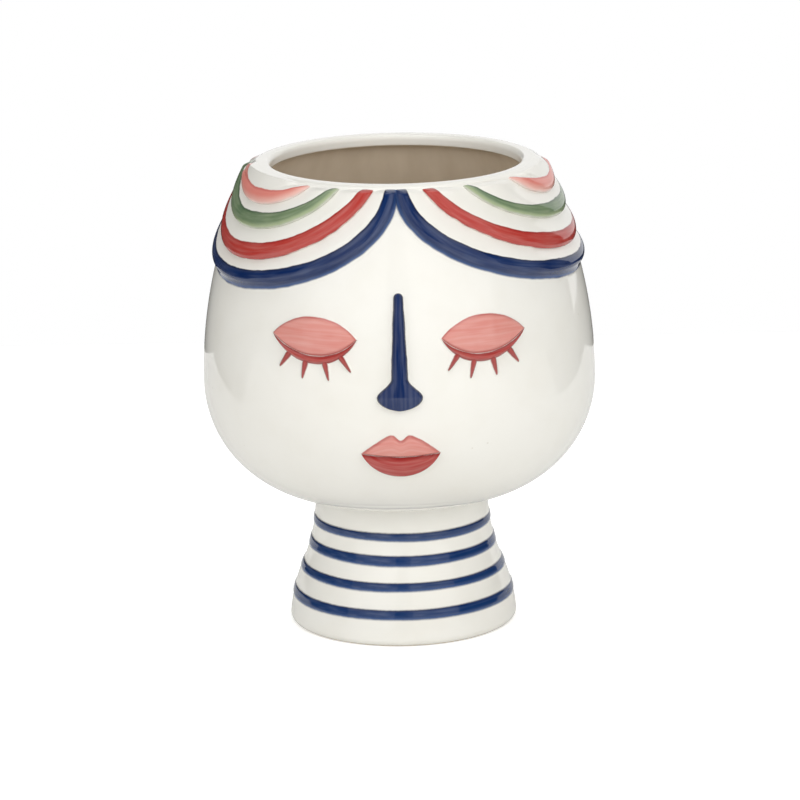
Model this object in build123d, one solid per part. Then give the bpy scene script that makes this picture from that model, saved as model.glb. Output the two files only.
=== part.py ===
"""Head planter: a glazed ceramic bowl shaped like a head, on a flared hollow neck.

Millimetres, +Z up. The origin is on the surface that the pot stands on, on the axis of the turned
forms. The face looks along -Y, and left and right are the viewer's.
"""

import math
import os

from build123d import *

# Head bowl
HEAD_RADIUS = 90.0  # widest outside radius
CHIN_RADIUS = 53.2  # outside arc from the underside up to the widest ring
RIM_ABOVE_WIDEST = 101.3  # widest ring up to the flat top of the rim
MOUTH_RADIUS = 57.0  # clear bore of the mouth
RIM_WIDTH = 8.0  # flat top of the rim, from the mouth out to the shoulder
WALL = 5.5  # thickness of the cast wall, floor and rim
SHOULDER_ROUND = 5.0  # round between the crown and the top of the rim
MOUTH_EDGE_ROUND = 1.2  # round on both edges of the mouth

# Neck, a hollow foot that the bowl is luted to
NECK_HEIGHT = 62.0  # floor to the underside of the bowl
NECK_RADIUS = 40.0  # outside radius where it meets the bowl
FOOT_RADIUS = 52.8  # outside radius of the foot
NECK_COLLAR = 4.0  # upright stretch below the bowl
FLARE_RUNOUT_DEPTH = 4.0  # how far below the floor the flare would turn upright
NECK_WALL = 8.0  # level thickness of the neck's wall
FOOT_EDGE_ROUND = 3.0  # round on the foot's outer edge
FOOT_INNER_ROUND = 1.5  # round on the foot's inner edge

# Painted lines round the neck
STRIPE_COUNT = 4
STRIPE_BELOW_BOWL = 13.4  # underside of the bowl down to the middle of the first line
STRIPE_PITCH = 10.6  # middle of the first line down to the second
STRIPE_PITCH_GROWTH = 0.7  # how much further apart each next pair is
STRIPE_WIDTH = 3.9
STRIPE_RELIEF = 0.5  # thickness of the line
STRIPE_SEAT_GAP = 0.1  # between the line and the neck

# Hair: rolled edges of locks that hang from the rim in swags.
# A swag goes round the head like half an ellipse with slack ends: its half width is an angle and
# its drop is a height. The slack is the power of the sine along it, 1 for a true ellipse.
LOCKS = {"left": (-62.0, 62.0), "right": (76.0, 76.0), "back": (194.0, 42.0)}  # middle, half width
SWAG_ANGLES = {
    "left": {"pink": 24.4, "green": 37.0, "coral": 50.3, "navy": 59.5},
    "right": {"pink": 24.6, "green": 46.8, "coral": 63.2, "navy": 73.5},
    "back": {"pink": 14.0, "green": 22.5, "coral": 31.5, "navy": 40.3},
}
SWAG_SLACK = {"pink": 1.45, "green": 1.5, "coral": 1.52, "navy": 1.05}
PINK_BELOW_RIM = 8.8  # top of the rim down to the middle of the roll, at the middle of the swag
GREEN_BELOW_PINK = 10.4
CORAL_BELOW_GREEN = 13.1
NAVY_BELOW_CORAL = 10.4
ROLL_RADIUS = 4.0  # round section of a rolled edge
ROLL_RELIEF = 3.0  # how far it stands out of the head
ROLL_TOP_GAP = 4.0  # rolls stop this far below the top of the rim
PARTING_GAP = 0.3  # between the rolls of neighbouring locks
ROLL_STATIONS = 9  # points that a roll's path passes through

# Face: closed eyelids, nose and lips in low relief, in the front view
EYE_BELOW_HAIR = 17.8  # lower edge of the hair down to the corners of the eyes
EYE_SPREAD = 37.0  # middle of each eye from the middle of the face
EYE_HALF_WIDTH = 18.5
LID_RISE = 9.0  # crown of the eyelid above the corners
LID_SAG = 8.0  # lower edge of the eyelid below the corners
LASH_LINE = 3.6  # thickness of the lash line under the lid, at its middle
LASH_LENGTH = 7.5
LASH_ROOT = 3.0  # width of a lash where it leaves the lash line
LASH_TIP = 1.2
LASH_ANGLES = [-34.0, -12.0, 12.0, 34.0]  # from straight down, outwards is positive
LID_RELIEF = 1.2
LASH_RELIEF = 1.6

NOSE_ABOVE_EYES = 18.0  # top of the bridge above the corners of the eyes
NOSE_BELOW_EYES = 31.0  # base of the nose below them
NOSE_TOP_HALF_WIDTH = 2.2
NOSE_BRIDGE_HALF_WIDTH = 3.8  # where the bridge starts to flare
NOSE_FLARE_HEIGHT = 14.0  # from the base up to the start of the flare
NOSE_WING_HALF_WIDTH = 10.0
NOSE_WING_HEIGHT = 5.5  # widest point above the base
NOSE_RELIEF = 2.8

LIPS_BELOW_NOSE = 11.5  # base of the nose down to the peaks of the upper lip
LIPS_HALF_WIDTH = 17.5
LIPS_BOW = 8.5  # peaks of the upper lip above the corners
LIPS_BOW_SPREAD = 5.5  # each peak from the middle
LIPS_BOW_DIP = 2.0  # dip between the peaks
LIPS_PART_DIP = 1.5  # line between the lips below the corners
LIPS_LOWER_DEPTH = 11.5  # bottom of the lower lip below the corners
LIPS_RELIEF = 2.4

# Worked out from the sizes above
WIDEST_HEIGHT = NECK_HEIGHT + CHIN_RADIUS
TOP_HEIGHT = WIDEST_HEIGHT + RIM_ABOVE_WIDEST
RIM_RADIUS = MOUTH_RADIUS + RIM_WIDTH
CROWN_DRAW_IN = HEAD_RADIUS - RIM_RADIUS
CROWN_RADIUS = (CROWN_DRAW_IN**2 + RIM_ABOVE_WIDEST**2) / (2 * CROWN_DRAW_IN)
CROWN_CENTRE = HEAD_RADIUS - CROWN_RADIUS
CHIN_CENTRE = HEAD_RADIUS - CHIN_RADIUS
FLARE_TOP = NECK_HEIGHT - NECK_COLLAR
FLARE_HALF_WIDTH = (FOOT_RADIUS - NECK_RADIUS) / 2
FLARE_HALF_HEIGHT = (FLARE_TOP + FLARE_RUNOUT_DEPTH) / 2
FLARE_RADIUS = (FLARE_HALF_WIDTH**2 + FLARE_HALF_HEIGHT**2) / (2 * FLARE_HALF_WIDTH)
FLARE_ANGLE = math.degrees(math.asin(FLARE_HALF_HEIGHT / FLARE_RADIUS))
GREEN_BELOW_RIM = PINK_BELOW_RIM + GREEN_BELOW_PINK
CORAL_BELOW_RIM = GREEN_BELOW_RIM + CORAL_BELOW_GREEN
NAVY_BELOW_RIM = CORAL_BELOW_RIM + NAVY_BELOW_CORAL
SWAG_DROPS = {
    "pink": PINK_BELOW_RIM,
    "green": GREEN_BELOW_RIM,
    "coral": CORAL_BELOW_RIM,
    "navy": NAVY_BELOW_RIM,
}
EYE_HEIGHT = TOP_HEIGHT - NAVY_BELOW_RIM - ROLL_RADIUS - EYE_BELOW_HAIR
NOSE_TOP = EYE_HEIGHT + NOSE_ABOVE_EYES
NOSE_BASE = EYE_HEIGHT - NOSE_BELOW_EYES
MOUTH_LINE = NOSE_BASE - LIPS_BELOW_NOSE - LIPS_BOW
REACH = 2 * HEAD_RADIUS  # longer than anything that a cutter has to pass through


def arc(centre, radius, start, end):
    """Arc about a point, from one angle to another in degrees."""
    return CenterArc(centre, radius, start, end - start)


def turned(section):
    """Solid turned about the pot's axis from a section in radius and height."""
    return revolve(Plane.XZ * section, Axis.Z)


def crown_radius_at(height):
    """Outside radius of the head above its widest ring."""
    return CROWN_CENTRE + math.sqrt(CROWN_RADIUS**2 - (height - WIDEST_HEIGHT) ** 2)


def head_section(grown=0.0):
    """Half section of the head, filled to the axis, with its outline grown evenly."""
    bottom = NECK_HEIGHT - grown
    top = TOP_HEIGHT + grown
    crown = CROWN_RADIUS + grown
    crown_end = math.degrees(math.asin((top - WIDEST_HEIGHT) / crown))
    chin_arc = arc((CHIN_CENTRE, WIDEST_HEIGHT), CHIN_RADIUS + grown, -90, 0)
    crown_arc = arc((CROWN_CENTRE, WIDEST_HEIGHT), crown, 0, crown_end)
    edge = [
        Line((0, bottom), chin_arc @ 0),
        chin_arc,
        crown_arc,
        Line(crown_arc @ 1, (0, top)),
        Line((0, top), (0, bottom)),
    ]
    return make_face(edge)


def near(sketch, radius, height):
    """Corner of a section nearest to a radius and a height."""
    return sketch.vertices().sort_by_distance((radius, height, 0))[0]


def head_bowl():
    """Cast bowl with a flat rim turned in round the mouth."""
    ceiling = TOP_HEIGHT - WALL
    mouth = Pos(MOUTH_RADIUS / 2, TOP_HEIGHT) * Rectangle(MOUTH_RADIUS, 4 * WALL)
    section = head_section() - head_section(-WALL) - mouth
    section = fillet(near(section, RIM_RADIUS, TOP_HEIGHT), SHOULDER_ROUND)
    section = fillet(near(section, MOUTH_RADIUS, TOP_HEIGHT), MOUTH_EDGE_ROUND)
    section = fillet(near(section, MOUTH_RADIUS, ceiling), MOUTH_EDGE_ROUND)
    return turned(section)


def neck_section(shifted=0.0):
    """Half section of the neck, filled to the axis, with its flared outline shifted outwards."""
    waist = NECK_RADIUS + shifted
    foot = FOOT_RADIUS + shifted
    top = NECK_HEIGHT + WALL
    floor_angle = math.degrees(math.asin(FLARE_RUNOUT_DEPTH / FLARE_RADIUS))
    upper = arc((waist + FLARE_RADIUS, FLARE_TOP), FLARE_RADIUS, 180, 180 + FLARE_ANGLE)
    lower = arc((foot - FLARE_RADIUS, -FLARE_RUNOUT_DEPTH), FLARE_RADIUS, FLARE_ANGLE, floor_angle)
    edge = [
        Line((0, top), (waist, top)),
        Line((waist, top), upper @ 0),
        upper,
        lower,
        Line(lower @ 1, (0, 0)),
        Line((0, 0), (0, top)),
    ]
    return make_face(edge)


def neck_foot(head_core):
    """Hollow flared neck, open underneath, seated against the underside of the bowl."""
    section = neck_section() - neck_section(-NECK_WALL)
    section = fillet(near(section, FOOT_RADIUS, 0), FOOT_EDGE_ROUND)
    section = fillet(near(section, FOOT_RADIUS - NECK_WALL, 0), FOOT_INNER_ROUND)
    return turned(section) - head_core


def neck_stripe(number):
    """Painted line round the neck, standing a little out of it, counted from the bowl down."""
    growth = STRIPE_PITCH_GROWTH * number * (number - 1) / 2
    height = NECK_HEIGHT - STRIPE_BELOW_BOWL - number * STRIPE_PITCH - growth
    band = Pos(FOOT_RADIUS, height) * Rectangle(FOOT_RADIUS, STRIPE_WIDTH)
    skin = neck_section(STRIPE_SEAT_GAP + STRIPE_RELIEF) - neck_section(STRIPE_SEAT_GAP)
    return turned(skin & band)


def sector(middle, half_width):
    """Wedge about the axis between the two upright planes that bound a lock, as tall as the pot."""
    corners = [(0, 0)]
    for end, reach in ((-half_width, REACH), (0, 2 * REACH), (half_width, REACH)):
        turn = math.radians(middle + end)
        corners.append((reach * math.sin(turn), -reach * math.cos(turn)))
    wedge = extrude(make_face(Polyline(*corners, close=True)), TOP_HEIGHT)
    gap = PARTING_GAP / 2 / math.sin(math.radians(half_width))
    turn = math.radians(middle)
    return Pos(gap * math.sin(turn), -gap * math.cos(turn), 0) * wedge


def swag_line(colour, lock):
    """Line along the middle of a roll, sunk into the head so that the roll shows its relief."""
    middle = LOCKS[lock][0]
    swing = SWAG_ANGLES[lock][colour]
    drop = SWAG_DROPS[colour]
    slack = SWAG_SLACK[colour]
    start = math.asin((ROLL_TOP_GAP / drop) ** (1 / slack))
    points = []
    for station in range(ROLL_STATIONS):
        along = start + (math.pi - 2 * start) * station / (ROLL_STATIONS - 1)
        turn = math.radians(middle - swing * math.cos(along))
        height = TOP_HEIGHT - drop * math.sin(along) ** slack
        radius = crown_radius_at(height) + ROLL_RELIEF - ROLL_RADIUS
        points.append((radius * math.sin(turn), -radius * math.cos(turn), height))
    return Spline(points)


def hair_roll(colour, lock, head_core):
    """Rolled edge of one lock: a round bar along its swag, cut to the head and to the lock."""
    line = swag_line(colour, lock)
    rings = []
    for station in range(ROLL_STATIONS):
        along = station / (ROLL_STATIONS - 1)
        centre = line @ along
        outwards = (centre.X, centre.Y, 0)
        rings.append(Plane(centre, outwards, line % along) * Circle(ROLL_RADIUS))
    return (loft(rings) - head_core) & sector(*LOCKS[lock])


def face_sprig(outline, relief, head_core):
    """Flat-topped relief on the front of the head, with its outline given in the front view."""
    column = extrude(Plane.XZ * outline, REACH)
    return (column & turned(head_section(relief))) - head_core


def crescent(middle, corner_height, half_width, first_bend, second_bend):
    """Face between two arcs through the same two corners, each bent up or down by a height."""
    left = (middle - half_width, corner_height)
    right = (middle + half_width, corner_height)
    first = ThreePointArc(left, (middle, corner_height + first_bend), right)
    second = ThreePointArc(left, (middle, corner_height + second_bend), right)
    return make_face([first, second])


def lash(middle, side, angle):
    """Tapered stroke that leaves the lower edge of the lash line, rooted inside it."""
    sag = LID_SAG + LASH_LINE
    bend_radius = (EYE_HALF_WIDTH**2 + sag**2) / (2 * sag)
    centre = EYE_HEIGHT - sag + bend_radius
    stroke = Polyline(
        (-LASH_ROOT / 2, -bend_radius + LASH_LINE / 3),
        (-LASH_TIP / 2, -bend_radius - LASH_LENGTH),
        (LASH_TIP / 2, -bend_radius - LASH_LENGTH),
        (LASH_ROOT / 2, -bend_radius + LASH_LINE / 3),
        close=True,
    )
    return Pos(middle, centre) * Rot(0, 0, side * angle) * make_face(stroke)


def eyelid_outline(side):
    """Closed lid: a pointed oval between its crown and its lower edge."""
    return crescent(side * EYE_SPREAD, EYE_HEIGHT, EYE_HALF_WIDTH, LID_RISE, -LID_SAG)


def lash_outline(side):
    """Lash line under the lid, with its lashes."""
    middle = side * EYE_SPREAD
    outline = crescent(middle, EYE_HEIGHT, EYE_HALF_WIDTH, -LID_SAG, -LID_SAG - LASH_LINE)
    for angle in LASH_ANGLES:
        outline += lash(middle, side, angle)
    return outline


def nose_outline():
    """Straight bridge that flares into two even wings over a round base."""
    flare = NOSE_BASE + NOSE_FLARE_HEIGHT
    wing = NOSE_BASE + NOSE_WING_HEIGHT
    down, up = (0, -1), (0, 1)
    top_right = (NOSE_TOP_HALF_WIDTH, NOSE_TOP)
    bridge_right = (NOSE_BRIDGE_HALF_WIDTH, flare)
    wing_right = (NOSE_WING_HALF_WIDTH, wing)
    wing_left = (-NOSE_WING_HALF_WIDTH, wing)
    right = [
        Line(top_right, bridge_right),
        Spline(bridge_right, wing_right, tangents=[down, down]),
    ]
    base = Spline(wing_right, (0, NOSE_BASE), wing_left, tangents=[down, up])
    crown = ThreePointArc(
        (-NOSE_TOP_HALF_WIDTH, NOSE_TOP), (0, NOSE_TOP + NOSE_TOP_HALF_WIDTH), top_right
    )
    left = [mirror(edge, Plane.YZ) for edge in right]
    return make_face(right + [base] + left + [crown])


def upper_lip_outline():
    """Upper lip with two even peaks."""
    peak = MOUTH_LINE + LIPS_BOW
    left, right = (-LIPS_HALF_WIDTH, MOUTH_LINE), (LIPS_HALF_WIDTH, MOUTH_LINE)
    bow = Spline(
        left,
        (-LIPS_BOW_SPREAD, peak),
        (0, peak - LIPS_BOW_DIP),
        (LIPS_BOW_SPREAD, peak),
        right,
    )
    part = ThreePointArc(left, (0, MOUTH_LINE - LIPS_PART_DIP), right)
    return make_face([bow, part])


def lower_lip_outline():
    """Lower lip, full at its middle."""
    return crescent(0, MOUTH_LINE, LIPS_HALF_WIDTH, -LIPS_PART_DIP, -LIPS_LOWER_DEPTH)


def build():
    """All pieces by the name of their node."""
    head_core = turned(head_section())
    pieces = {"head_bowl": head_bowl(), "neck_foot": neck_foot(head_core)}
    for number in range(STRIPE_COUNT):
        pieces[f"neck_stripe_{number + 1}"] = neck_stripe(number)
    for lock in LOCKS:
        for colour in SWAG_DROPS:
            pieces[f"hair_roll_{colour}_{lock}"] = hair_roll(colour, lock, head_core)
    for name, side in (("left", -1), ("right", 1)):
        pieces[f"eyelid_{name}"] = face_sprig(eyelid_outline(side), LID_RELIEF, head_core)
        pieces[f"lashes_{name}"] = face_sprig(lash_outline(side), LASH_RELIEF, head_core)
    pieces["nose"] = face_sprig(nose_outline(), NOSE_RELIEF, head_core)
    pieces["upper_lip"] = face_sprig(upper_lip_outline(), LIPS_RELIEF, head_core)
    pieces["lower_lip"] = face_sprig(lower_lip_outline(), LIPS_RELIEF, head_core)
    return pieces


def main():
    """Writes one STEP file for each piece."""
    os.makedirs("parts", exist_ok=True)
    for name, piece in build().items():
        export_step(piece, f"parts/{name}.step")


if __name__ == "__main__":
    main()
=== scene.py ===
"""Looks of a glazed ceramic head planter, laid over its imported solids.

Sizes are in millimetres and become metres when a mesh is made. +Z is up, the origin is on the
surface that the pot stands on, on the axis of the turned forms, and the face looks along -Y.
A turn is an angle about the axis, counted from the front towards +X.
"""

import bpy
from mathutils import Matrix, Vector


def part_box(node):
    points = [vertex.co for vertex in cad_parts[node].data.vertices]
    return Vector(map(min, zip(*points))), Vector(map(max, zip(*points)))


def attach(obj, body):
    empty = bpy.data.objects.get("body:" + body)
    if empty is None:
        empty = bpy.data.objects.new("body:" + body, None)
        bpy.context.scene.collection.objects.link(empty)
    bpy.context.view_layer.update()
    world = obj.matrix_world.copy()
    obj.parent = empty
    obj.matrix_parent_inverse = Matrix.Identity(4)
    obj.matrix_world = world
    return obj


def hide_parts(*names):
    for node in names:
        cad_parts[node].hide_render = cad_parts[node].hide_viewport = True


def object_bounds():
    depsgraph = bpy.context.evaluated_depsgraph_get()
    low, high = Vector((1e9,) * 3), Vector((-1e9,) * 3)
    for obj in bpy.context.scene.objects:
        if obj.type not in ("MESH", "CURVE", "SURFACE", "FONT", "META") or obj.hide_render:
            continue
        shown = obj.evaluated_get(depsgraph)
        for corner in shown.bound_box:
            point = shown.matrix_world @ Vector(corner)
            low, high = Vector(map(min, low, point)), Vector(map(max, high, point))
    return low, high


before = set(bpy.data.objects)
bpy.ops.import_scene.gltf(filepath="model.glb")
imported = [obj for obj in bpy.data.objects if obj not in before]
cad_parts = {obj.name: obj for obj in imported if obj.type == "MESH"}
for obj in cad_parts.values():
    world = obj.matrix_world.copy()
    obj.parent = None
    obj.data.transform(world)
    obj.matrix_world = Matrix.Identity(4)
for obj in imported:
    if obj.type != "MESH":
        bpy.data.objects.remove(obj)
CAD_BOX = [list(corner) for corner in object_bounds()]

import logging
import math
from dataclasses import dataclass, field, replace
from enum import Enum
from typing import Optional

import bmesh
import bpy
import numpy as np
from mathutils import Matrix, Vector

log = logging.getLogger("head_planter")

MM = 0.001  # metres in a millimetre
WELD = 1e-6  # metres within which doubled points are merged
CRISP = math.radians(48.0)  # edges that turn by more than this are shaded crisp
GLAZE_IOR = 1.5
SIDES = {"left": -1.0, "right": 1.0}  # direction along X
PLAIN_WHITE = (1.0, 1.0, 1.0, 1.0)

Array = np.ndarray
Amount = float | np.ndarray
Pair = tuple[float, float]
Place = tuple[float, float, float]
Rgb = tuple[int, int, int]
Socket = bpy.types.NodeSocket
Piece = bpy.types.Object


class Slot(Enum):
    """Finishes that the record names."""

    WHITE = "white_glaze"
    PINK = "pink_paint"
    GREEN = "green_paint"
    CORAL = "coral_paint"
    NAVY = "navy_paint"


class Finish(Enum):
    """Materials, named for the surfaces that they are for."""

    WHITE = "white_glaze"
    PINK = "pink_strokes"
    CORAL = "coral_strokes"
    NAVY = "navy_strokes"
    NECK_NAVY = "neck_navy_strokes"
    HAIR_PINK = "hair_pink_strokes"
    HAIR_GREEN = "hair_green_strokes"
    HAIR_CORAL = "hair_coral_strokes"
    HAIR_NAVY = "hair_navy_strokes"


class Kind(Enum):
    """Types of a shader group's sockets."""

    VALUE = "NodeSocketFloat"
    COLOUR = "NodeSocketColor"
    VECTOR = "NodeSocketVector"


# Curves and grids


def smooth(value: Array, low: Amount, high: Amount) -> Array:
    """Smooth step: 0 up to low, 1 from high, and the cubic 3s^2 - 2s^3 between."""
    share = np.clip((value - low) / (high - low), 0.0, 1.0)
    return share * share * (3.0 - 2.0 * share)


def eased(count: int) -> Array:
    """Numbers from -1 to 1 that crowd at both ends: minus the cosine of even angles."""
    return -np.cos(np.linspace(0.0, math.pi, count))


def full_turn(count: int) -> Array:
    """Even angles once round the axis, in radians."""
    return np.linspace(0.0, 2.0 * math.pi, count, endpoint=False)


def beside(*parts: Amount) -> Array:
    """Arrays side by side on a new last axis, each spread to the shape that they share."""
    return np.stack(np.broadcast_arrays(*parts), axis=-1)


def folded(top: Array, bed: Array) -> Array:
    """Grid whose rows go across the top and back across the bed."""
    return np.concatenate([top, bed[:, ::-1]], axis=1)


def revolve(reach: Array, level: Array, turn: Array) -> Array:
    """Points turned about the axis: the reach times the sine and minus the cosine, and the level."""
    return beside(reach * np.sin(turn), -reach * np.cos(turn), level)


def run_along(points: Array) -> Array:
    """Length along a row of points, from 0 at the first: the steps' lengths added up."""
    steps = np.linalg.norm(np.diff(points, axis=0), axis=-1)
    return np.concatenate([[0.0], np.cumsum(steps)])


def arc(centre: Pair, radius: float, start: float, end: float, count: int) -> Array:
    """Points on an arc: the centre plus the radius times the cosine and sine of an even angle.

    Args:
        centre: radius and height of the arc's centre.
        radius: its radius.
        start: first angle in degrees, 0 outwards and 90 up.
        end: last angle in degrees.
        count: number of points.

    Returns:
        Rows of radius and height.
    """
    angle = np.radians(np.linspace(start, end, count))
    return beside(centre[0] + radius * np.cos(angle), centre[1] + radius * np.sin(angle))


def arc_radius(half_chord: float, rise: float) -> float:
    """Radius of the arc over a chord: the sum of both squares over twice the rise."""
    return (half_chord**2 + rise**2) / (2.0 * rise)


def bend(across: Array, half_width: float, rise: float) -> Array:
    """Height of a circular arc over its chord, at distances from the chord's middle.

    Args:
        across: distances from the middle of the chord.
        half_width: half the chord.
        rise: height of the arc at its middle, negative for one that hangs down.

    Returns:
        Heights above the chord.
    """
    radius = arc_radius(half_width, abs(rise))
    drop = radius - np.sqrt(np.maximum(radius**2 - across**2, 0.0))
    return math.copysign(1.0, rise) * (abs(rise) - drop)


def rounded_inside(first: Array, second: Array, radius: float) -> Array:
    """Distance inside a corner of two edges that is rounded off.

    Args:
        first: distance inside one edge.
        second: distance inside the other edge.
        radius: radius of the corner.

    Returns:
        The radius less the distance from the corner's centre, and the lesser of both further in.
    """
    near, far = radius - first, radius - second
    corner = np.hypot(np.maximum(near, 0.0), np.maximum(far, 0.0))
    return radius - corner - np.minimum(np.maximum(near, far), 0.0)


@dataclass
class Patch:
    """Band of points in millimetres whose last column joins the first, with what its paint reads."""

    points: Array  # rows, columns, 3
    close_rows: bool = False  # whether the last row joins the first
    stroke: Optional[Array] = None  # along, inside the upper edge, inside the lower edge
    inside: Optional[Array] = None  # 0 on the outer skin, 1 on the inner

    def faces(self) -> Array:
        """Four-sided faces between neighbours in the grid, whose points are numbered row by row.

        Returns:
            One row of four point numbers for each face.
        """
        rows, columns = self.points.shape[:2]
        index = np.arange(rows * columns).reshape(rows, columns)
        if self.close_rows:
            index = np.vstack([index, index[:1]])
        index = np.hstack([index, index[:, :1]])
        corners = [index[:-1, :-1], index[:-1, 1:], index[1:, 1:], index[1:, :-1]]
        return np.stack(corners, axis=-1).reshape(-1, 4)


def add_object(name: str, data: bpy.types.ID) -> Piece:
    """New object in the scene, at the origin.

    Args:
        name: its name.
        data: its mesh, lamp or camera.

    Returns:
        The object.
    """
    made = bpy.data.objects.new(name, data)
    bpy.context.scene.collection.objects.link(made)
    return made


def make_piece(name: str, patches: list[Patch]) -> Piece:
    """Mesh of one piece, with doubled points merged and its faces turned outwards.

    Args:
        name: the piece's name.
        patches: closed grids that make it up.

    Returns:
        The new object.
    """
    points = np.concatenate([patch.points.reshape(-1, 3) for patch in patches]) * MM
    firsts = np.cumsum([0] + [patch.points.size // 3 for patch in patches])
    quads = np.concatenate([first + patch.faces() for first, patch in zip(firsts, patches)])
    mesh = bpy.data.meshes.new(name)
    mesh.vertices.add(len(points))
    mesh.vertices.foreach_set("co", points.astype(np.float32).ravel())
    mesh.loops.add(quads.size)
    mesh.loops.foreach_set("vertex_index", quads.astype(np.int32).ravel())
    mesh.polygons.add(len(quads))
    mesh.polygons.foreach_set("loop_start", np.arange(0, quads.size, 4, dtype=np.int32))
    mesh.update(calc_edges=True)
    for label, kind, key in (("stroke", "FLOAT_VECTOR", "vector"), ("inside", "FLOAT", "value")):
        if getattr(patches[0], label) is not None:
            values = np.concatenate([getattr(patch, label).ravel() for patch in patches])
            layer = mesh.attributes.new(label, kind, "POINT")
            layer.data.foreach_set(key, values.astype(np.float32))
    work = bmesh.new()
    work.from_mesh(mesh)
    bmesh.ops.remove_doubles(work, verts=work.verts, dist=WELD)
    bmesh.ops.dissolve_degenerate(work, edges=work.edges, dist=WELD)
    bmesh.ops.recalc_face_normals(work, faces=work.faces)
    work.to_mesh(mesh)
    work.free()
    mesh.polygons.foreach_set("use_smooth", np.ones(len(mesh.polygons), dtype=bool))
    mesh.set_sharp_from_angle(angle=CRISP)
    mesh.update()
    return add_object(name, mesh)


@dataclass
class Skin:
    """Outline of a turned form from its top down, looked up by the run along it."""

    outline: Array  # rows of radius and height

    def __post_init__(self) -> None:
        """Works out the run along the outline, and the normal as its slope turned outwards."""
        self.run = run_along(self.outline)
        slope = np.gradient(self.outline, self.run, axis=0)
        normal = beside(-slope[:, 1], slope[:, 0])
        self.normal = normal / np.linalg.norm(normal, axis=1, keepdims=True)

    def run_at(self, height: Amount) -> Array:
        """Run along the outline at which it has each height."""
        return np.interp(-height, -self.outline[:, 1], self.run)

    def look_up(self, run: Array) -> list[Array]:
        """Radius, height and the normal's parts outwards and up, at each run."""
        columns = [*self.outline.T, *self.normal.T]
        return [np.interp(run, self.run, column) for column in columns]

    def around(self, turn: Array, run: Array, rise: Amount) -> Array:
        """Points on the turned form: the outline at a run, moved along its normal, then turned.

        Args:
            turn: angles about the axis, in radians from the front.
            run: runs along the outline.
            rise: heights above the skin.

        Returns:
            Points, with one more axis of 3 than the arguments.
        """
        radius, height, out, up = self.look_up(run)
        return revolve(radius + rise * out, height + rise * up, turn)

    def in_front(self, across: Array, height: Array, rise: Amount) -> Array:
        """Points that lie at a place in the front view, moved along the skin's normal.

        Args:
            across: distances to the right of the axis.
            height: heights above the floor.
            rise: heights above the skin.

        Returns:
            Points, with one more axis of 3 than the arguments.
        """
        run = self.run_at(height)
        radius = self.look_up(run)[0]
        return self.around(np.arcsin(np.clip(across / radius, -1.0, 1.0)), run, rise)


# Finishes

PAINT_TONES = ("body", "deep", "pale")
PAINT_MEASURES = ("upper_feather", "lower_feather", "lower_start", "pool", "wash", "streaks", "wobble")


def linear(colour: Rgb) -> tuple[float, float, float, float]:
    """Linear colour with an alpha of 1, by the usual curve of displays: a line, then a power.

    Args:
        colour: display colour from 0 to 255.

    Returns:
        The colour that the renderer works with.
    """
    share = np.array(colour, dtype=float) / 255.0
    low, high = share / 12.92, ((share + 0.055) / 1.055) ** 2.4
    return (*(float(part) for part in np.where(share <= 0.04045, low, high)), 1.0)


@dataclass(frozen=True)
class Cloud:
    """Cloudy mask: noise that is stepped softly from 0 at low to 1 at high."""

    scale: float  # waves in a unit of length
    detail: float
    low: float
    high: float


class Wiring:
    """Adds nodes to one tree and joins them."""

    def __init__(self, tree: bpy.types.NodeTree) -> None:
        """Keeps the tree that the nodes go into."""
        self.tree = tree

    def feed(self, node: bpy.types.Node, values: dict) -> None:
        """Joins sockets to a node's inputs, and sets inputs to plain values.

        Args:
            node: the node.
            values: socket or plain value for each input, by its name or number.
        """
        for name, value in values.items():
            if isinstance(value, Socket):
                self.tree.links.new(value, node.inputs[name])
            else:
                node.inputs[name].default_value = value

    def node(self, kind: str, inputs: Optional[dict] = None, **settings: object) -> bpy.types.Node:
        """New node with its settings and inputs.

        Args:
            kind: the node's type name.
            inputs: socket or plain value for each input, by its name or number.
            settings: the node's own properties.

        Returns:
            The node.
        """
        made = self.tree.nodes.new(kind)
        for name, value in settings.items():
            setattr(made, name, value)
        self.feed(made, inputs or {})
        return made

    def math(self, operation: str, *values: object) -> Socket:
        """Result of one sum on two or three values."""
        return self.node("ShaderNodeMath", dict(enumerate(values)), operation=operation).outputs[0]

    def times(self, first: object, second: object) -> Socket:
        """Product of two values."""
        return self.math("MULTIPLY", first, second)

    def plus(self, first: object, second: object) -> Socket:
        """Sum of two values."""
        return self.math("ADD", first, second)

    def less(self, first: object, second: object) -> Socket:
        """First value less the second."""
        return self.math("SUBTRACT", first, second)

    def step(self, value: object, low: object, high: object) -> Socket:
        """Smooth step of a value from 0 at low to 1 at high."""
        inputs = {"Value": value, "From Min": low, "From Max": high}
        return self.node("ShaderNodeMapRange", inputs, interpolation_type="SMOOTHSTEP").outputs["Result"]

    def blend(self, share: object, first: object, second: object) -> Socket:
        """Colour between two colours."""
        inputs = {"Factor": share, 6: first, 7: second}
        return self.node("ShaderNodeMix", inputs, data_type="RGBA").outputs[2]

    def noise(self, vector: object, scale: float, detail: float = 1.0) -> Socket:
        """Cloudy value from 0 to 1 about a half."""
        inputs = {"Vector": vector, "Scale": scale, "Detail": detail}
        return self.node("ShaderNodeTexNoise", inputs).outputs[0]

    def mask(self, vector: object, cloud: Cloud) -> Socket:
        """Cloudy mask over a place."""
        return self.step(self.noise(vector, cloud.scale, cloud.detail), cloud.low, cloud.high)

    def vector(self, x: object, y: object) -> Socket:
        """Flat vector from two values."""
        return self.node("ShaderNodeCombineXYZ", {0: x, 1: y}).outputs[0]

    def place(self) -> Socket:
        """Place on the object, in metres."""
        return self.node("ShaderNodeTexCoord").outputs["Object"]


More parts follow.
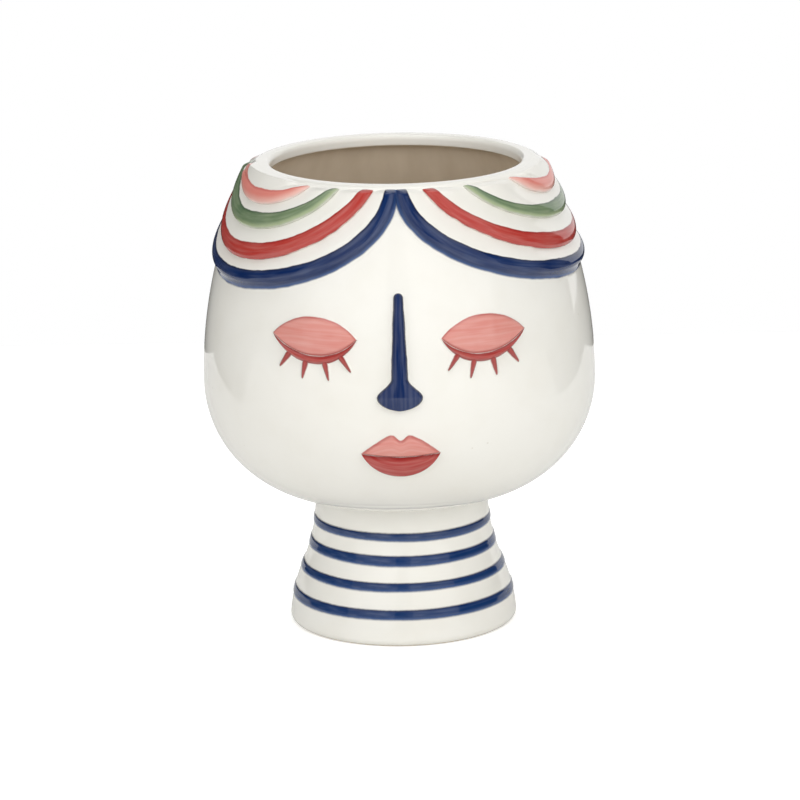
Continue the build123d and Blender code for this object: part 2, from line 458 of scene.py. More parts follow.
def new_group(
    name: str, takes: dict[str, Kind], gives: dict[str, Kind]
) -> tuple[Wiring, dict[str, Socket], bpy.types.Node]:
    """Empty shader group with named sockets.

    Args:
        name: the group's name.
        takes: type of each input.
        gives: type of each output.

    Returns:
        The group's wiring, its inputs as sockets to read, and the node that its outputs are fed to.
    """
    tree = bpy.data.node_groups.new(name, "ShaderNodeTree")
    for way, sockets in (("INPUT", takes), ("OUTPUT", gives)):
        for label, kind in sockets.items():
            tree.interface.new_socket(label, in_out=way, socket_type=kind.value)
    wiring = Wiring(tree)
    inlet, outlet = wiring.node("NodeGroupInput"), wiring.node("NodeGroupOutput")
    return wiring, dict(inlet.outputs.items()), outlet


def new_material(name: str) -> tuple[bpy.types.Material, Wiring, bpy.types.Node]:
    """Material with nothing joined to its shader yet.

    Args:
        name: the material's name.

    Returns:
        The material, its wiring and its shader.
    """
    material = bpy.data.materials.new(name)
    material.use_nodes = True
    shader = material.node_tree.nodes["Principled BSDF"]
    shader.inputs["IOR"].default_value = GLAZE_IOR
    return material, Wiring(material.node_tree), shader


def bump(wiring: Wiring, height: Socket) -> Socket:
    """Normal of a surface with a height in metres."""
    return wiring.node("ShaderNodeBump", {"Strength": 1.0, "Distance": 1.0, "Height": height}).outputs[0]


@dataclass
class Effects:
    """Shader groups that the finishes share.

    Scales on the object are waves in a metre, and those along a stroke waves in a millimetre.
    Widths are in millimetres, and heights for bumps in metres.
    """

    drift: Cloud = Cloud(16.0, 2.0, 0.35, 0.75)  # slow drifts of tone in the glaze
    drift_share: float = 0.55  # how much of the pooled tone they show
    haze: Cloud = Cloud(70.0, 3.0, 0.40, 0.75)  # small clouds, a little duller
    haze_share: float = 0.30
    speckled: Cloud = Cloud(55.0, 0.0, 0.62, 0.70)  # the few patches that have specks
    speck_scale: float = 120.0
    speck_edge: Pair = (0.07, 0.03)  # distances from a cell's middle, as shares of a cell
    speck_share: float = 0.25
    speck_tone: Rgb = (176, 160, 134)
    roughness: float = 0.04
    haze_roughness: float = 0.04  # what a cloud adds
    wave_scale: float = 24.0
    wave_height: float = 1.6e-4
    peel_scale: float = 330.0  # fine unevenness
    peel_height: float = 4.0e-6
    wander_scale: float = 0.12  # how an edge wanders along its stroke
    wander_rows: Pair = (3.0, 11.0)  # where the noise is read for the upper and the lower edge
    grain_scale: float = 700.0
    grain: float = 0.16  # how far an edge is frayed
    streak_scales: Pair = (0.045, 0.55)  # along a stroke and across it
    streak: Cloud = Cloud(1.0, 2.5, 0.30, 0.78)
    streak_share: float = 0.6  # of the streaks in the uneven colour
    patch: Cloud = Cloud(85.0, 2.0, 0.35, 0.70)
    patch_share: float = 0.4
    pool_width: float = 1.5  # dark band along the upper edge
    rim_width: float = 0.7  # fainter one along the lower edge
    rim_share: float = 0.5
    thin: float = 0.18  # how far the glaze shows through a streak
    paint_height: float = 5.0e-5
    ridge_height: float = 1.2e-5  # of a streak

    def __post_init__(self) -> None:
        """Makes both groups once."""
        self.flow = self.glaze_flow()
        self.brush = self.brushed_colour()

    def glaze_flow(self) -> bpy.types.NodeTree:
        """Glaze that ran while it melted: slow drifts of tone, few fine specks, gentle waves.

        Returns:
            Group that turns a place and two tones into a colour, a roughness and a height.
        """
        wiring, take, outlet = new_group(
            "glaze_flow",
            {"Place": Kind.VECTOR, "Tone": Kind.COLOUR, "Pooled": Kind.COLOUR},
            {"Colour": Kind.COLOUR, "Roughness": Kind.VALUE, "Height": Kind.VALUE},
        )
        place = take["Place"]
        drift, haze = wiring.mask(place, self.drift), wiring.mask(place, self.haze)
        pooled = wiring.plus(wiring.times(drift, self.drift_share), wiring.times(haze, self.haze_share))
        tone = wiring.blend(pooled, take["Tone"], take["Pooled"])
        cells = wiring.node("ShaderNodeTexVoronoi", {"Vector": place, "Scale": self.speck_scale})
        speck = wiring.step(cells.outputs["Distance"], *self.speck_edge)
        speck = wiring.times(wiring.times(speck, wiring.mask(place, self.speckled)), self.speck_share)
        wave = wiring.times(wiring.noise(place, self.wave_scale), self.wave_height)
        peel = wiring.times(wiring.noise(place, self.peel_scale), self.peel_height)
        gives = {
            "Colour": wiring.blend(speck, tone, linear(self.speck_tone)),
            "Roughness": wiring.math("MULTIPLY_ADD", haze, self.haze_roughness, self.roughness),
            "Height": wiring.plus(wave, peel),
        }
        wiring.feed(outlet, gives)
        return wiring.tree

    def brushed_colour(self) -> bpy.types.NodeTree:
        """Colour brushed on under clear glaze: streaks along the stroke, dark where it pooled.

        The edges wander and feather, and the tone goes from deep at the upper edge to pale at
        the lower one.

        Returns:
            Group that turns a stroke and its colours into a colour and a height.
        """
        takes = {"stroke": Kind.VECTOR, "place": Kind.VECTOR, "ground": Kind.COLOUR}
        takes |= dict.fromkeys(PAINT_TONES, Kind.COLOUR) | dict.fromkeys(PAINT_MEASURES, Kind.VALUE)
        gives = {"Colour": Kind.COLOUR, "Height": Kind.VALUE}
        wiring, take, outlet = new_group("brushed_colour", takes, gives)
        along, above, below = wiring.node("ShaderNodeSeparateXYZ", {0: take["stroke"]}).outputs

        def wandering(edge: Socket, row: float) -> Socket:
            """Edge moved to and fro slowly along the stroke, and a little all over.

            Args:
                edge: distance inside the edge.
                row: where the slow noise is read.

            Returns:
                Distance inside the moved edge.
            """
            slow = wiring.noise(wiring.vector(along, row), self.wander_scale)
            fine = wiring.noise(take["place"], self.grain_scale)
            moved = wiring.times(wiring.less(slow, 0.5), take["wobble"])
            return wiring.plus(edge, wiring.plus(moved, wiring.times(wiring.less(fine, 0.5), self.grain)))

        def feathered(edge: Socket, feather: Socket) -> Socket:
            """Cover that goes from none to full across a soft edge."""
            return wiring.step(edge, wiring.times(feather, -1.0), feather)

        upper = wandering(above, self.wander_rows[0])
        lower = wandering(wiring.less(below, take["lower_start"]), self.wander_rows[1])
        cover = feathered(upper, take["upper_feather"])
        cover = wiring.times(cover, feathered(lower, take["lower_feather"]))
        scaled = [wiring.times(part, scale) for part, scale in zip((along, below), self.streak_scales)]
        streak = wiring.mask(wiring.vector(*scaled), self.streak)
        patch = wiring.mask(take["place"], self.patch)
        mottle = wiring.plus(wiring.times(streak, self.streak_share), wiring.times(patch, self.patch_share))
        # Paler towards the lower edge: thinner paint, and on the navy strokes partly a painted reflection
        # of the floor.
        washed_and_sheen = wiring.less(1.0, wiring.step(lower, 0.0, take["wash"]))
        light = wiring.math("MAXIMUM", wiring.times(mottle, take["streaks"]), washed_and_sheen)
        tone = wiring.blend(light, take["body"], take["pale"])
        pooled = wiring.less(1.0, wiring.step(upper, 0.0, self.pool_width))
        rim = wiring.less(1.0, wiring.step(lower, 0.0, self.rim_width))
        pooled = wiring.math("MAXIMUM", pooled, wiring.times(rim, self.rim_share))
        tone = wiring.blend(wiring.times(pooled, take["pool"]), tone, take["deep"])
        thin = wiring.times(wiring.times(streak, take["streaks"]), self.thin)
        opaque = wiring.times(cover, wiring.less(1.0, thin))
        ridges = wiring.times(wiring.times(cover, streak), self.ridge_height)
        height = wiring.plus(wiring.times(cover, self.paint_height), ridges)
        wiring.feed(outlet, {"Colour": wiring.blend(opaque, take["ground"], tone), "Height": height})
        return wiring.tree


@dataclass(frozen=True)
class Glaze:
    """Clear-white glaze over the cast body, warmer inside, bare where the pot stands."""

    tone: Rgb = (243, 241, 234)
    pooled: Rgb = (237, 234, 225)
    lining: Rgb = (228, 214, 193)
    lining_pooled: Rgb = (219, 204, 182)
    lining_cloud: Cloud = Cloud(90.0, 3.0, 0.30, 0.75)
    lining_runs: Place = (1.0, 1.0, 0.08)  # draws the lining's clouds out downwards
    bare: Rgb = (214, 200, 176)
    bare_height: float = 0.9  # the foot is wiped clean up to here
    bare_edge: float = 0.3  # width of the line's soft edge
    bare_roughness: float = 0.6  # what the bare body adds
    ragged: float = 0.6  # how far the line strays
    ragged_scale: float = 260.0
    ragged_detail: float = 2.0

    def ground(self, wiring: Wiring, effects: Effects) -> tuple[Socket, dict[str, Socket]]:
        """Glaze on the outer skin.

        Args:
            wiring: the material's wiring.
            effects: the shared groups.

        Returns:
            Place on the object, and the glaze's colour, roughness and height by name.
        """
        place = wiring.place()
        inputs = {"Place": place, "Tone": linear(self.tone), "Pooled": linear(self.pooled)}
        flow = wiring.node("ShaderNodeGroup", inputs, node_tree=effects.flow)
        return place, dict(flow.outputs.items())

    def material(self, effects: Effects) -> bpy.types.Material:
        """White glaze for the bowl and the neck.

        Args:
            effects: the shared groups.

        Returns:
            The material.
        """
        material, wiring, shader = new_material(Finish.WHITE.value)
        place, flow = self.ground(wiring, effects)
        inner = wiring.node("ShaderNodeAttribute", attribute_name="inside").outputs["Fac"]
        runs = wiring.node("ShaderNodeMapping", {"Vector": place, "Scale": self.lining_runs}).outputs[0]
        cloud = wiring.mask(runs, self.lining_cloud)
        lining = wiring.blend(cloud, linear(self.lining), linear(self.lining_pooled))
        colour = wiring.blend(inner, flow["Colour"], lining)
        height = wiring.node("ShaderNodeSeparateXYZ", {0: place}).outputs["Z"]
        ragged = wiring.noise(place, self.ragged_scale, self.ragged_detail)
        line = wiring.plus(height, wiring.times(ragged, self.ragged * MM))
        bare = wiring.step(line, (self.bare_height + self.bare_edge) * MM, self.bare_height * MM)
        looks = {
            "Base Color": wiring.blend(bare, colour, linear(self.bare)),
            "Roughness": wiring.math("MULTIPLY_ADD", bare, self.bare_roughness, flow["Roughness"]),
            "Normal": bump(wiring, flow["Height"]),
        }
        wiring.feed(shader, looks)
        return material


@dataclass(frozen=True)
class Paint:
    """Underglaze colour brushed on a raised stroke."""

    slot: Slot
    body: Rgb
    deep: Rgb
    pale: Rgb
    upper_feather: float = 0.25  # half width of the soft upper edge
    lower_feather: float = 0.25
    lower_start: float = 0.0  # how far above the lower edge the colour starts
    pool: float = 0.7  # how dark the pooled edge is
    wash: float = 0.05  # width over which the colour turns pale towards the lower edge: thinner paint, and on the navy strokes partly a painted reflection of the floor
    streaks: float = 0.5  # how much the streaks show
    wobble: float = 0.9  # how far the edges wander

    def material(self, effects: Effects, glaze: Glaze, name: str) -> bpy.types.Material:
        """Colour over the white glaze, for one kind of stroke.

        Args:
            effects: the shared groups.
            glaze: the glaze that shows beside the stroke.
            name: the material's name.

        Returns:
            The material.
        """
        material, wiring, shader = new_material(name)
        place, flow = glaze.ground(wiring, effects)
        stroke = wiring.node("ShaderNodeAttribute", attribute_name="stroke").outputs["Vector"]
        values = {"stroke": stroke, "place": place, "ground": flow["Colour"]}
        values |= {label: linear(getattr(self, label)) for label in PAINT_TONES}
        values |= {label: getattr(self, label) for label in PAINT_MEASURES}
        brush = wiring.node("ShaderNodeGroup", values, node_tree=effects.brush).outputs
        looks = {
            "Base Color": brush["Colour"],
            "Roughness": flow["Roughness"],
            "Normal": bump(wiring, wiring.plus(flow["Height"], brush["Height"])),
        }
        wiring.feed(shader, looks)
        return material


def paints() -> dict[Finish, Paint]:
    """Brushed colours.

    Returns:
        Paint for each finish other than the white glaze.
    """
    pink = Paint(Slot.PINK, (224, 134, 122), (204, 106, 98), (232, 156, 142), streaks=0.12)
    coral = Paint(Slot.CORAL, (178, 57, 50), (144, 36, 36), (196, 84, 74), streaks=0.25)
    navy = Paint(Slot.NAVY, (6, 35, 84), (2, 14, 46), (28, 58, 112), streaks=0.25)
    green = Paint(Slot.GREEN, (98, 121, 90), (58, 82, 60), (164, 178, 136), streaks=0.4)
    # Slate for the lower edges of the navy lines and hair: partly thinner paint, partly a painted
    # reflection of the pale floor.
    slate_and_painted_sheen = (58, 88, 140)
    face_pink = {"body": (214, 134, 124), "deep": (186, 98, 92), "pale": (229, 172, 160)}
    brushed = {"pool": 0.85, "streaks": 0.45}
    worn = {"lower_feather": 0.9, "lower_start": 0.2, "pool": 0.8}
    lined = {"upper_feather": 0.5, "lower_feather": 0.6, "wash": 1.8, "wobble": 0.25}
    return {
        Finish.PINK: replace(pink, **face_pink, **brushed),
        Finish.CORAL: replace(coral, body=(168, 54, 49), pale=(194, 92, 82), **brushed),
        Finish.NAVY: navy,
        Finish.NECK_NAVY: replace(navy, body=(13, 48, 98), deep=(5, 24, 62), pale=slate_and_painted_sheen, **lined),
        Finish.HAIR_PINK: replace(pink, pale=(236, 186, 174), upper_feather=0.3, wash=4.2, **worn),
        Finish.HAIR_GREEN: replace(green, wash=3.4, **worn),
        Finish.HAIR_CORAL: replace(coral, streaks=0.4),
        Finish.HAIR_NAVY: replace(navy, pale=slate_and_painted_sheen, lower_feather=0.6, wash=2.4),
    }


class Looks:
    """Material and slot of every finish."""

    def __init__(self) -> None:
        """Makes each material once."""
        effects, glaze = Effects(), Glaze()
        self.slots = {Finish.WHITE: Slot.WHITE}
        self.materials = {Finish.WHITE: glaze.material(effects)}
        for finish, paint in paints().items():
            self.slots[finish] = paint.slot
            self.materials[finish] = paint.material(effects, glaze, finish.value)


# Pieces of the pot


class Assembly:
    """Sub-assembly of the pot, with new pieces that stand for its solids."""

    def build(self) -> dict[str, tuple[Finish, Piece]]:
        """Finish and new piece for each solid, by the solid's node."""
        raise NotImplementedError

    def dress(self, looks: Looks) -> list[Piece]:
        """Builds the pieces, gives them their finish and puts them in the place of their solids.

        Args:
            looks: the finishes.

        Returns:
            The pieces.
        """
        built = self.build()
        for node, (finish, piece) in built.items():
            piece.data.materials.append(looks.materials[finish])
            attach(piece, "root")
            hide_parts(node)
        return [piece for _, piece in built.values()]


@dataclass
class Bowl(Assembly):
    """Head bowl: outer skin, flat rim, mouth and lining as one closed turned wall."""

    radius: float = CAD_BOX[1][0] / MM
    top: float = CAD_BOX[1][2] / MM
    bottom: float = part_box("head_bowl")[0].z / MM
    mouth: float = 57.0
    rim_width: float = 8.0
    wall: float = 5.5
    shoulder_round: float = 5.0
    mouth_round: float = 2.4  # upper edge of the mouth
    ceiling_round: float = 1.2  # lower edge
    ceiling_steps: Pair = (1.0, 3.0)  # points on the underside of the rim, from that edge
    chin: float = 53.2  # arc from the underside up to the widest ring
    outer_points: tuple[int, int, int] = (12, 60, 50)  # on the shoulder, the crown and the chin
    inner_points: tuple[int, int] = (40, 30)  # on the lining's crown and chin
    rim_points: int = 5
    edge_points: int = 8
    lip_points: int = 3  # those of the mouth's lower edge that have the outer glaze
    fine: int = 40  # how much finer the skin for other pieces is sampled
    turns: int = 360

    def __post_init__(self) -> None:
        """Works out the crown's arc, which passes the widest ring upright and ends at the rim."""
        self.widest = self.bottom + self.chin
        self.ceiling = self.top - self.wall
        self.crown = arc_radius(self.top - self.widest, self.radius - self.mouth - self.rim_width)
        self.crown_centre = (self.radius - self.crown, self.widest)
        self.chin_centre = (self.radius - self.chin, self.widest)

    def outer(self, detail: int) -> Array:
        """Outer skin from the rim's flat down: shoulder round, crown arc, chin arc.

        Args:
            detail: how many times finer than the plainest sampling.

        Returns:
            Rows of radius and height.
        """
        level = self.top - self.shoulder_round
        reach = self.crown - self.shoulder_round
        lift = level - self.widest
        middle = (self.crown_centre[0] + math.sqrt(reach**2 - lift**2), level)
        end = math.degrees(math.asin(lift / reach))
        shoulder, crown, chin = (count * detail for count in self.outer_points)
        parts = [
            arc(middle, self.shoulder_round, 90.0, end, shoulder),
            arc(self.crown_centre, self.crown, end, 0.0, crown)[1:],
            arc(self.chin_centre, self.chin, 0.0, -90.0, chin)[1:],
        ]
        return np.concatenate(parts)

    def skin(self) -> Skin:
        """Finely sampled outer skin that the hair and the face are laid on."""
        return Skin(self.outer(self.fine))

    def flat(self, height: float) -> Array:
        """Level stretch from half way out to the axis."""
        return beside([self.chin_centre[0] / 2.0, 0.0], height)

    def inner(self) -> Array:
        """Lining from the underside of the rim down: crown arc, chin arc, level floor.

        Returns:
            Rows of radius and height, ending on the axis.
        """
        reach = self.crown - self.wall
        start = math.degrees(math.asin((self.ceiling - self.widest) / reach))
        crown, chin = self.inner_points
        parts = [
            arc(self.crown_centre, reach, start, 0.0, crown),
            arc(self.chin_centre, self.chin - self.wall, 0.0, -90.0, chin)[1:],
            self.flat(self.bottom + self.wall),
        ]
        return np.concatenate(parts)

    def build(self) -> dict[str, tuple[Finish, Piece]]:
        """Turns the closed section about the axis.

        Returns:
            Finish and piece for the bowl's solid.
        """
        edge, under = self.mouth + self.mouth_round, self.mouth + self.ceiling_round
        upper = (edge, self.top - self.mouth_round)
        lower = (under, self.ceiling + self.ceiling_round)
        outer = self.outer(1)[::-1]
        outside = [
            self.flat(self.bottom)[::-1],
            outer,
            beside(np.linspace(outer[-1, 0], edge, self.rim_points)[1:-1], self.top),
            arc(upper, self.mouth_round, 90.0, 180.0, self.edge_points),
        ]
        lining = [
            arc(lower, self.ceiling_round, 180.0, 270.0, self.edge_points),
            beside(under + np.array(self.ceiling_steps), self.ceiling),
            self.inner(),
        ]
        section = np.concatenate(outside + lining)
        lined = np.arange(len(section)) >= sum(map(len, outside)) + self.lip_points
        points = revolve(section[:, :1], section[:, 1:], full_turn(self.turns))
        patch = Patch(points, inside=np.broadcast_to(lined[:, None], points.shape[:2]))
        return {"head_bowl": (Finish.WHITE, make_piece("bowl_shell", [patch]))}


@dataclass
class Neck(Assembly):
    """Hollow flared neck with four painted lines round it."""

    top: float = 62.0
    foot: float = 52.8
    waist: float = 40.0
    collar: float = 4.0
    tuck: float = 0.5  # how far the collar runs into the bowl
    runout: float = 4.0  # how far below the floor the flare would turn upright
    wall: float = 8.0
    foot_round: float = 3.0
    inner_round: float = 1.5
    line_heights: tuple[float, ...] = (48.6, 38.0, 26.7, 14.7)
    line_widths: tuple[float, ...] = (4.0, 4.9, 4.2, 4.8)
    line_rise: float = 0.45
    line_round: float = 1.1  # width of the round along its edge
    line_skirt: float = 0.8  # how far the glaze runs out beside a line
    line_dip: float = 0.12  # how deep the skirt's end lies in the neck
    line_dip_from: float = 0.5  # distance from the edge at which it starts to dip
    line_bed: float = 0.8  # how deep a line is sunk into the neck
    line_strays: Pair = (0.14, 0.05)  # up and down, in two waves and in five round the neck
    line_swell: float = 0.04  # share by which its width varies, in three waves
    line_start: float = 0.7  # turn from which its streaks are counted
    line_points: int = 25
    collar_points: int = 4
    arc_points: int = 40
    round_points: tuple[int, int] = (12, 8)  # on the foot's outer and inner edge
    fine: int = 30  # how much finer the skin for the lines is sampled
    turns: int = 300

    def __post_init__(self) -> None:
        """Works out the flare: two equal arcs that meet level with its middle."""
        half_height = (self.top - self.collar + self.runout) / 2.0
        self.flare = arc_radius(half_height, (self.foot - self.waist) / 2.0)
        self.flare_angle = math.degrees(math.asin(half_height / self.flare))

    def outer(self, shift: float, detail: int) -> Array:
        """Flared outline from the bowl down to the floor: upright collar, hollow arc, full arc.

        Args:
            shift: how far it is moved outwards.
            detail: how many times finer than the plainest sampling.

        Returns:
            Rows of radius and height.
        """
        start, count = self.top - self.collar, self.arc_points * detail
        floor = math.degrees(math.asin(self.runout / self.flare))
        hollow = (self.waist + shift + self.flare, start)
        full = (self.foot + shift - self.flare, -self.runout)
        levels = np.linspace(self.top + self.tuck, start, self.collar_points)[:-1]
        parts = [
            beside(self.waist + shift, levels),
            arc(hollow, self.flare, 180.0, 180.0 + self.flare_angle, count),
            arc(full, self.flare, self.flare_angle, floor, count)[1:],
        ]
        return np.concatenate(parts)

    @staticmethod
    def rounded(outline: Array, radius: float, side: float, count: int) -> Array:
        """Outline whose foot is rounded onto the floor.

        Args:
            outline: rows of radius and height, ending at the floor.
            radius: radius of the round.
            side: 1 for the outer edge and -1 for the inner.
            count: points on the round.

        Returns:
            The outline cut above the round, followed by the round down to the floor.
        """
        kept = outline[outline[:, 1] > radius]
        middle = (kept[-1, 0] - side * radius, radius)
        return np.concatenate([kept, arc(middle, radius, 90.0 - side * 90.0, 90.0 - side * 180.0, count)])

    def hollow_wall(self) -> Piece:
        """Turns the closed section of the wall about the axis.

        Returns:
            The neck.
        """
        outside = self.rounded(self.outer(0.0, 2), self.foot_round, 1.0, self.round_points[0])
        hollow = self.rounded(self.outer(-self.wall, 1), self.inner_round, -1.0, self.round_points[1])
        section = np.concatenate([outside, hollow[::-1]])
        points = revolve(section[:, :1], section[:, 1:], full_turn(self.turns))
        return make_piece("neck_wall", [Patch(points, close_rows=True)])

    def line(self, number: int) -> Piece:
        """Painted line: a low dome across its width that thins out into the glaze, carried round.

        It strays and swells in whole waves round the neck. The count along the stroke is a sine
        of the turn, so that its streaks close.

        Args:
            number: which line, from the bowl down.

        Returns:
            The line.
        """
        skin = Skin(self.outer(0.0, self.fine))
        turn = full_turn(2 * self.turns)[:, None]
        slow, quick = self.line_strays
        stray = slow * np.sin(2.0 * turn + number) + quick * np.sin(5.0 * turn + 2.0 * number)
        swell = 1.0 + self.line_swell * np.sin(3.0 * turn + 1.7 * number)
        width = self.line_widths[number] / 2.0 * swell
        across = np.linspace(-1.0, 1.0, self.line_points) * (width + self.line_skirt)
        edge = width - np.abs(across)
        dip = self.line_dip * smooth(-edge, self.line_dip_from, self.line_skirt)
        rise = self.line_rise * smooth(edge, -self.line_skirt, self.line_round) - dip
        run = skin.run_at(self.line_heights[number]) + stray + across
        top, bed = (skin.around(turn, run, depth) for depth in (rise, -self.line_bed))
        along = 2.0 * self.foot * np.sin(turn + self.line_start)
        stroke = beside(along, width + across, width - across)
        patch = Patch(folded(top, bed), close_rows=True, stroke=folded(stroke, stroke))
        return make_piece(f"neck_line_{number + 1}", [patch])

    def build(self) -> dict[str, tuple[Finish, Piece]]:
        """Makes the wall and its lines.

        Returns:
            Finish and piece for each solid of the neck.
        """
        built = {"neck_foot": (Finish.WHITE, self.hollow_wall())}
        for number in range(len(self.line_heights)):
            built[f"neck_stripe_{number + 1}"] = (Finish.NECK_NAVY, self.line(number))
        return built


@dataclass(frozen=True)
class Swag:
    """Lower edge of one layer of hair, hung from the rim like half an ellipse with slack ends."""

    drop: float  # how far it hangs below the rim at its middle
    slack: float  # power of the sine along it, 1 for a true ellipse


@dataclass(frozen=True)
class Lock:
    """Lock of hair between two partings."""

    middle: float  # turn in degrees
    swings: tuple[float, ...]  # half widths of its edges in degrees, from the rim down
    far_top: float  # half width of its top edge on the side away from the face
    far_ease: float = 0.6  # sine along it from which the flat at the rim is full on that side
    faceted: bool = True  # whether a flat lies between the rim and the first roll


@dataclass(frozen=True)
class Layer:
    """Layer of hair with a rolled, painted lower edge."""

    name: str
    finish: Finish
    rise: float  # how far the roll stands out of the head
    paint_width: float  # from the roll's lower edge up to the colour's upper edge
    end_width: float  # the same at an end
    limb_width: float  # further width half way up on the side or the back
    spill: float = 0.0  # how far the colour runs over the roll's lower edge


@dataclass
class Hair(Assembly):
    """Locks of hair that hang from the rim in swags, in four layers each.

    Shares across go from 0 at a layer's upper swag to 1 at its lower one, and shares of the rise
    from 0 on the head to 1 at the crest.
    """

    skin: Skin
    top: float  # height of the rim
    rim: float = 216.3  # height that the swags hang from
    swags: tuple[Swag, ...] = (
        Swag(1.5, 1.45), Swag(12.6, 1.45), Swag(23.1, 1.5), Swag(36.2, 1.52), Swag(46.3, 1.05)
    )
    layers: tuple[Layer, ...] = (
        Layer("pink", Finish.HAIR_PINK, 2.8, 7.0, 1.2, 2.4),
        Layer("green", Finish.HAIR_GREEN, 3.0, 7.6, 2.6, 4.6),
        Layer("coral", Finish.HAIR_CORAL, 3.0, 7.5, 5.0, 3.0),
        Layer("navy", Finish.HAIR_NAVY, 3.5, 6.1, 5.2, 3.4, 2.5),
    )
    locks: dict[str, Lock] = field(
        default_factory=lambda: {
            "left": Lock(-62.0, (14.0, 27.6, 40.3, 53.7, 62.2), 26.0),
            "right": Lock(76.0, (14.0, 27.4, 50.2, 66.6, 76.6), 14.0, far_ease=1.0),
            "back": Lock(194.0, (8.0, 17.0, 25.5, 34.2, 42.4), 8.0, faceted=False),
        }
    )
    crest: float = 0.69  # share across at which a layer stands highest
    belly: float = 0.30  # share of the rise at which the roll reaches furthest
    lead: float = -0.10  # share across at which a layer starts
    start_rise: float = 0.04
    first_rise: float = -0.03  # the same for the first layer, which starts just inside the head
    swell_lead: float = 0.10  # how far before its start a later layer begins to swell
    swell_over: float = 0.02  # how far past the crest the swell would end
    edge: Pair = (-0.01, -0.2)  # step from a layer's start, and rise there
    roll_end: float = -20.0  # angle at which a roll ends, tucked under
    tuck: tuple[Pair, ...] = ((-0.012, -0.06), (-0.02, -0.22))  # steps from there, and rises
    spill_end: float = 30.0  # angle at which a roll runs out into a margin
    margin: float = 0.317  # share across that the margin takes
    film: float = 0.03  # its rise
    margin_end: tuple[Pair, ...] = ((1.31, 0.02), (1.35, -0.05), (1.36, -0.2))
    end_spill: float = 0.35  # share of the margin that is left at an end
    facet_start: float = 0.62  # share of the rise with which the flat at the rim starts
    facet_fade: Pair = (0.35, 0.05)  # share across from which it fades, and share past the crest
    facet_upright: float = 0.2  # least part upwards of the normal that it is worked out with
    facet_ease: float = 0.6  # sine along a lock from which it is full, towards the face
    facet_lift: float = 0.01
    front: Pair = (45.0, 75.0)  # turns between which the front gives way to the side
    over_rim: float = 0.2  # how far above the swags' height a layer may start
    fade_from: float = 0.2  # fall at which a layer starts to rise out of the head
    fade_to: float = 5.0  # fall at which it has risen, on the side
    fade_front: float = 1.4  # how much sooner in front
    sunk: float = 0.7  # how deep a layer lies in the head where it has run out
    bed: float = 1.3  # how deep its bed lies elsewhere
    end_round: float = 2.6  # corners of the colour's ends
    slope_points: int = 34
    roll_points: int = 26
    margin_points: int = 19
    stations: int = 260

    def section(self, number: int) -> Array:
        """Section across a layer: a slope that swells to the crest, then a roll tucked under.

        A layer whose colour spills runs out below its roll in a thin margin that carries it.

        Args:
            number: which layer, from the rim down.

        Returns:
            Rows of the share across the layer and the share of the rise.
        """
        even = np.linspace(0.0, 1.0, self.slope_points)
        lead, start, swell_lead = self.lead, self.start_rise, self.swell_lead
        if number == 0:
            upper, lower = self.swags[0].drop, self.swags[1].drop
            even, lead = even**2, (self.rim - self.top - upper) / (lower - upper)
            start, swell_lead = self.first_rise, 0.0
        across = lead + (self.crest - lead) * even
        swell = smooth(across, lead - swell_lead, self.crest + self.swell_over)
        slope = beside(across, start + (1.0 - start) * swell)
        spills = self.layers[number].spill > 0.0
        end = self.spill_end if spills else self.roll_end
        angle = np.radians(np.linspace(90.0, end, self.roll_points))[1:]
        out = self.crest + (1.0 - self.crest) * np.cos(angle)
        roll = beside(out, self.belly + (1.0 - self.belly) * np.sin(angle))
        tail = np.array(self.tuck) + [out[-1], 0.0]
        if spills:
            ease = np.linspace(0.0, 1.0, self.margin_points)[1:]
            film = self.film + (roll[-1, 1] - self.film) * (1.0 - ease) ** 2
            tail = np.concatenate([beside(out[-1] + self.margin * ease, film), self.margin_end])
        return np.concatenate([[[lead + self.edge[0], self.edge[1]]], slope, roll, tail])

    def facet(self, share: Array, run: Array) -> Array:
        """Rise of the flat above the first roll: level with the rim, then straight down to the crest.

        Args:
            share: shares across the first layer.
            run: runs along the skin at the same points.

        Returns:
            Rises that fill up the shoulder's round.
        """
        _, height, _, up = self.skin.look_up(run)
        level = (self.top - height) / np.maximum(up, self.facet_upright)
        lean = self.facet_start + (1.0 - self.facet_start) * np.clip(share / self.crest, 0.0, 1.0)
        fade_from, past_crest = self.facet_fade
        left = 1.0 - smooth(share, fade_from, self.crest + past_crest)
        return np.minimum(level, self.layers[0].rise * lean) * left

